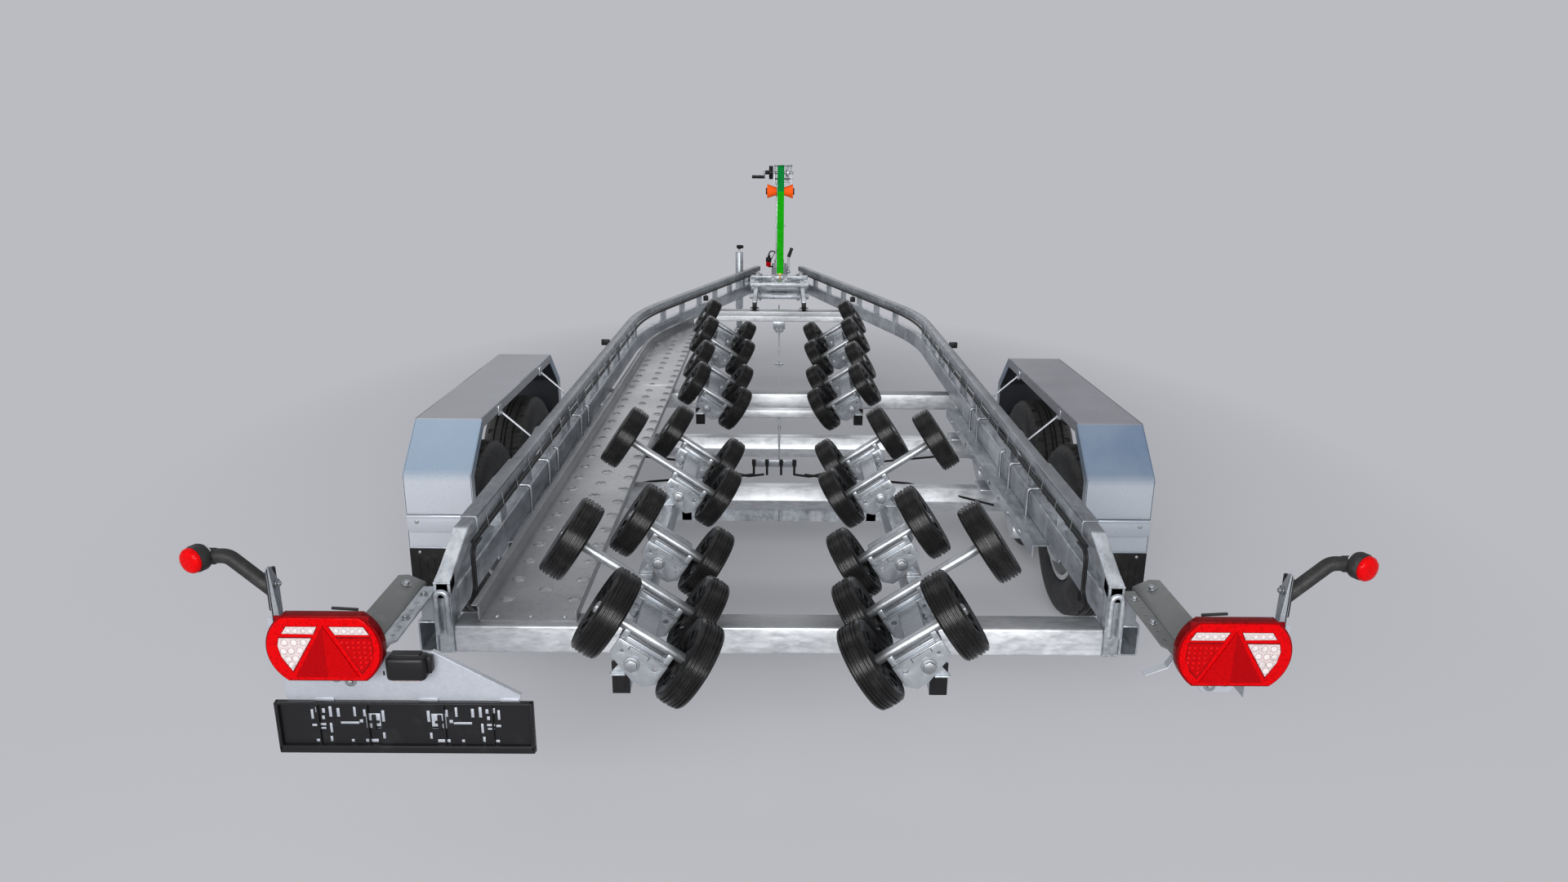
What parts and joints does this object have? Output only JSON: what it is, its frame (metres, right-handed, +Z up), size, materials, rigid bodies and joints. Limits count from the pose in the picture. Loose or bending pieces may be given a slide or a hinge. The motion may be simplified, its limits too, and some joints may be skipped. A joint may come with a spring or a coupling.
{
  "type": "boat trailer",
  "caption": "Tandem-axle boat trailer with latticed side rails, rocking rubber rollers, walkway, winch stand, overrun coupling, jockey wheel and rear lamp board.",
  "frame": {"origin": "on the ground, on the centre plane, at the middle of the overall length", "axes": "+Y forward in the towing direction, +X to the trailer's right, +Z up"},
  "size_m": [2.52, 7.3, 1.562],
  "materials": {
    "galvanised_steel": "satin",
    "galvanised_sheet": "satin",
    "rim_steel": "satin",
    "tyre_rubber": "matte",
    "roller_rubber": "matte",
    "flap_rubber": "matte",
    "black_plastic": "matte",
    "green_webbing": "matte",
    "coupling_steel": "satin",
    "grey_steel": "satin",
    "lamp_red": "gloss",
    "bow_orange": "satin"
  },
  "bodies": {
    "trailer": {"side_truss_right": "galvanised_steel", "side_truss_left": "galvanised_steel", "cross_beams": "galvanised_steel", "axle_channels": "galvanised_steel", "axle_beams": "galvanised_steel", "mudguards": "galvanised_sheet", "mudflaps": "flap_rubber", "walkway": "galvanised_sheet", "roller_carriers": "galvanised_steel", "end_caps": "black_plastic", "winch_post": "galvanised_steel", "winch_strap": "green_webbing", "coupling": "coupling_steel", "jockey_mast": "galvanised_steel", "light_arms": "grey_steel", "lamps": "lamp_red", "plate_holder": "black_plastic", "cables": "black_plastic"},
    "wheel_rear_right": {"tyre_rear_right": "tyre_rubber", "rim_rear_right": "rim_steel"},
    "wheel_rear_left": {"tyre_rear_left": "tyre_rubber", "rim_rear_left": "rim_steel"},
    "wheel_front_right": {"tyre_front_right": "tyre_rubber", "rim_front_right": "rim_steel"},
    "wheel_front_left": {"tyre_front_left": "tyre_rubber", "rim_front_left": "rim_steel"},
    "rocker_rear_a_right": {"rocker_rear_a_right": "galvanised_steel"},
    "rollers_rear_a1_right": {"rollers_rear_a1_right": "roller_rubber"},
    "rollers_rear_a2_right": {"rollers_rear_a2_right": "roller_rubber"},
    "rocker_rear_a_left": {"rocker_rear_a_left": "galvanised_steel"},
    "rollers_rear_a1_left": {"rollers_rear_a1_left": "roller_rubber"},
    "rollers_rear_a2_left": {"rollers_rear_a2_left": "roller_rubber"},
    "rocker_rear_b_right": {"rocker_rear_b_right": "galvanised_steel"},
    "rollers_rear_b1_right": {"rollers_rear_b1_right": "roller_rubber"},
    "rocker_rear_b_left": {"rocker_rear_b_left": "galvanised_steel"},
    "rollers_rear_b1_left": {"rollers_rear_b1_left": "roller_rubber"},
    "rocker_rear_c_right": {"rocker_rear_c_right": "galvanised_steel"},
    "rollers_rear_c1_right": {"rollers_rear_c1_right": "roller_rubber"},
    "rollers_rear_c2_right": {"rollers_rear_c2_right": "roller_rubber"},
    "rocker_rear_c_left": {"rocker_rear_c_left": "galvanised_steel"},
    "rollers_rear_c1_left": {"rollers_rear_c1_left": "roller_rubber"},
    "rollers_rear_c2_left": {"rollers_rear_c2_left": "roller_rubber"},
    "rocker_front_a_right": {"rocker_front_a_right": "galvanised_steel"},
    "rollers_front_a1_right": {"rollers_front_a1_right": "roller_rubber"},
    "rollers_front_a2_right": {"rollers_front_a2_right": "roller_rubber"},
    "rocker_front_a_left": {"rocker_front_a_left": "galvanised_steel"},
    "rollers_front_a1_left": {"rollers_front_a1_left": "roller_rubber"},
    "rollers_front_a2_left": {"rollers_front_a2_left": "roller_rubber"},
    "rocker_front_b_right": {"rocker_front_b_right": "galvanised_steel"},
    "rollers_front_b1_right": {"rollers_front_b1_right": "roller_rubber"},
    "rollers_front_b2_right": {"rollers_front_b2_right": "roller_rubber"},
    "rocker_front_b_left": {"rocker_front_b_left": "galvanised_steel"},
    "rollers_front_b1_left": {"rollers_front_b1_left": "roller_rubber"},
    "rollers_front_b2_left": {"rollers_front_b2_left": "roller_rubber"},
    "winch_drum": {"winch_drum": "galvanised_steel"},
    "winch_crank": {"winch_crank": "galvanised_steel"},
    "bow_roller": {"bow_roller": "bow_orange"},
    "jockey_leg": {"jockey_leg": "galvanised_steel"},
    "jockey_fork": {"jockey_fork": "galvanised_steel"},
    "jockey_wheel": {"jockey_wheel": "roller_rubber"}
  },
  "joints": [
    {"name": "wheel_rear_right_spin", "type": "hinge", "parent": "trailer", "child": "wheel_rear_right", "pos_m": [1.143, -1.863, 0.325], "axis": [1, 0, 0], "continuous": true},
    {"name": "wheel_rear_left_spin", "type": "hinge", "parent": "trailer", "child": "wheel_rear_left", "pos_m": [-1.143, -1.863, 0.325], "axis": [1, 0, 0], "continuous": true},
    {"name": "wheel_front_right_spin", "type": "hinge", "parent": "trailer", "child": "wheel_front_right", "pos_m": [1.143, -1.173, 0.325], "axis": [1, 0, 0], "continuous": true},
    {"name": "wheel_front_left_spin", "type": "hinge", "parent": "trailer", "child": "wheel_front_left", "pos_m": [-1.143, -1.173, 0.325], "axis": [1, 0, 0], "continuous": true},
    {"name": "rocker_rear_a_right_tilt", "type": "hinge", "parent": "trailer", "child": "rocker_rear_a_right", "pos_m": [0.317, -3.398, 0.658], "axis": [0, 1, 0], "range_deg": [-6, 6]},
    {"name": "rollers_rear_a1_right_spin", "type": "hinge", "parent": "rocker_rear_a_right", "child": "rollers_rear_a1_right", "pos_m": [0.28121, -3.5105, 0.71106], "axis": [0.829, 0, 0.5592], "continuous": true},
    {"name": "rollers_rear_a2_right_spin", "type": "hinge", "parent": "rocker_rear_a_right", "child": "rollers_rear_a2_right", "pos_m": [0.28121, -3.2855, 0.71106], "axis": [0.829, 0, 0.5592], "continuous": true},
    {"name": "rocker_rear_a_left_tilt", "type": "hinge", "parent": "trailer", "child": "rocker_rear_a_left", "pos_m": [-0.317, -3.398, 0.658], "axis": [0, 1, 0], "range_deg": [-6, 6]},
    {"name": "rollers_rear_a1_left_spin", "type": "hinge", "parent": "rocker_rear_a_left", "child": "rollers_rear_a1_left", "pos_m": [-0.28121, -3.5105, 0.71106], "axis": [0.829, 0, -0.5592], "continuous": true},
    {"name": "rollers_rear_a2_left_spin", "type": "hinge", "parent": "rocker_rear_a_left", "child": "rollers_rear_a2_left", "pos_m": [-0.28121, -3.2855, 0.71106], "axis": [0.829, 0, -0.5592], "continuous": true},
    {"name": "rocker_rear_b_right_tilt", "type": "hinge", "parent": "trailer", "child": "rocker_rear_b_right", "pos_m": [0.317, -3, 0.672], "axis": [0, 1, 0], "range_deg": [-6, 6]},
    {"name": "rollers_rear_b1_right_spin", "type": "hinge", "parent": "rocker_rear_b_right", "child": "rollers_rear_b1_right", "pos_m": [0.28121, -3, 0.72506], "axis": [0.829, 0, 0.5592], "continuous": true},
    {"name": "rocker_rear_b_left_tilt", "type": "hinge", "parent": "trailer", "child": "rocker_rear_b_left", "pos_m": [-0.317, -3, 0.672], "axis": [0, 1, 0], "range_deg": [-6, 6]},
    {"name": "rollers_rear_b1_left_spin", "type": "hinge", "parent": "rocker_rear_b_left", "child": "rollers_rear_b1_left", "pos_m": [-0.28121, -3, 0.72506], "axis": [0.829, 0, -0.5592], "continuous": true},
    {"name": "rocker_rear_c_right_tilt", "type": "hinge", "parent": "trailer", "child": "rocker_rear_c_right", "pos_m": [0.317, -2.282, 0.658], "axis": [0, 1, 0], "range_deg": [-6, 6]},
    {"name": "rollers_rear_c1_right_spin", "type": "hinge", "parent": "rocker_rear_c_right", "child": "rollers_rear_c1_right", "pos_m": [0.28121, -2.447, 0.71106], "axis": [0.829, 0, 0.5592], "continuous": true},
    {"name": "rollers_rear_c2_right_spin", "type": "hinge", "parent": "rocker_rear_c_right", "child": "rollers_rear_c2_right", "pos_m": [0.28121, -2.117, 0.71106], "axis": [0.829, 0, 0.5592], "continuous": true},
    {"name": "rocker_rear_c_left_tilt", "type": "hinge", "parent": "trailer", "child": "rocker_rear_c_left", "pos_m": [-0.317, -2.282, 0.658], "axis": [0, 1, 0], "range_deg": [-6, 6]},
    {"name": "rollers_rear_c1_left_spin", "type": "hinge", "parent": "rocker_rear_c_left", "child": "rollers_rear_c1_left", "pos_m": [-0.28121, -2.447, 0.71106], "axis": [0.829, 0, -0.5592], "continuous": true},
    {"name": "rollers_rear_c2_left_spin", "type": "hinge", "parent": "rocker_rear_c_left", "child": "rollers_rear_c2_left", "pos_m": [-0.28121, -2.117, 0.71106], "axis": [0.829, 0, -0.5592], "continuous": true},
    {"name": "rocker_front_a_right_tilt", "type": "hinge", "parent": "trailer", "child": "rocker_front_a_right", "pos_m": [0.317, -1.01896, 0.63161], "axis": [0, 0.9867, 0.1625], "range_deg": [-6, 6]},
    {"name": "rollers_front_a1_right_spin", "type": "hinge", "parent": "rocker_front_a_right", "child": "rollers_front_a1_right", "pos_m": [0.28121, -1.16079, 0.66203], "axis": [0.829, -0.0908, 0.5518], "continuous": true},
    {"name": "rollers_front_a2_right_spin", "type": "hinge", "parent": "rocker_front_a_right", "child": "rollers_front_a2_right", "pos_m": [0.28121, -0.89438, 0.7059], "axis": [0.829, -0.0908, 0.5518], "continuous": true},
    {"name": "rocker_front_a_left_tilt", "type": "hinge", "parent": "trailer", "child": "rocker_front_a_left", "pos_m": [-0.317, -1.01896, 0.63161], "axis": [0, 0.9867, 0.1625], "range_deg": [-6, 6]},
    {"name": "rollers_front_a1_left_spin", "type": "hinge", "parent": "rocker_front_a_left", "child": "rollers_front_a1_left", "pos_m": [-0.28121, -1.16079, 0.66203], "axis": [0.829, 0.0908, -0.5518], "continuous": true},
    {"name": "rollers_front_a2_left_spin", "type": "hinge", "parent": "rocker_front_a_left", "child": "rollers_front_a2_left", "pos_m": [-0.28121, -0.89438, 0.7059], "axis": [0.829, 0.0908, -0.5518], "continuous": true},
    {"name": "rocker_front_b_right_tilt", "type": "hinge", "parent": "trailer", "child": "rocker_front_b_right", "pos_m": [0.317, -0.41904, 0.73039], "axis": [0, 0.9867, 0.1625], "range_deg": [-6, 6]},
    {"name": "rollers_front_b1_right_spin", "type": "hinge", "parent": "rocker_front_b_right", "child": "rollers_front_b1_right", "pos_m": [0.28121, -0.56086, 0.76081], "axis": [0.829, -0.0908, 0.5518], "continuous": true},
    {"name": "rollers_front_b2_right_spin", "type": "hinge", "parent": "rocker_front_b_right", "child": "rollers_front_b2_right", "pos_m": [0.28121, -0.29445, 0.80468], "axis": [0.829, -0.0908, 0.5518], "continuous": true},
    {"name": "rocker_front_b_left_tilt", "type": "hinge", "parent": "trailer", "child": "rocker_front_b_left", "pos_m": [-0.317, -0.41904, 0.73039], "axis": [0, 0.9867, 0.1625], "range_deg": [-6, 6]},
    {"name": "rollers_front_b1_left_spin", "type": "hinge", "parent": "rocker_front_b_left", "child": "rollers_front_b1_left", "pos_m": [-0.28121, -0.56086, 0.76081], "axis": [0.829, 0.0908, -0.5518], "continuous": true},
    {"name": "rollers_front_b2_left_spin", "type": "hinge", "parent": "rocker_front_b_left", "child": "rollers_front_b2_left", "pos_m": [-0.28121, -0.29445, 0.80468], "axis": [0.829, 0.0908, -0.5518], "continuous": true},
    {"name": "winch_drum_turn", "type": "hinge", "parent": "trailer", "child": "winch_drum", "pos_m": [0, 2.325, 1.5], "axis": [1, 0, 0], "continuous": true},
    {"name": "winch_crank_turn", "type": "hinge", "parent": "trailer", "child": "winch_crank", "pos_m": [0, 2.404, 1.5], "axis": [1, 0, 0], "continuous": true},
    {"name": "bow_roller_spin", "type": "hinge", "parent": "trailer", "child": "bow_roller", "pos_m": [0, 2.27, 1.37], "axis": [1, 0, 0], "continuous": true},
    {"name": "jockey_leg_slide", "type": "slide", "parent": "trailer", "child": "jockey_leg", "axis": [0, 0, 1], "range_m": [-0.1, 0.15]},
    {"name": "jockey_swivel", "type": "hinge", "parent": "jockey_leg", "child": "jockey_fork", "pos_m": [-0.322, 2.8, 0.256], "axis": [0, 0, 1], "continuous": true},
    {"name": "jockey_wheel_spin", "type": "hinge", "parent": "jockey_fork", "child": "jockey_wheel", "pos_m": [-0.322, 2.74, 0.108], "axis": [1, 0, 0], "continuous": true}
  ],
  "couplings": [
    {"joint": "winch_crank_turn", "follows": "winch_drum_turn", "ratio": -3.875}
  ]
}
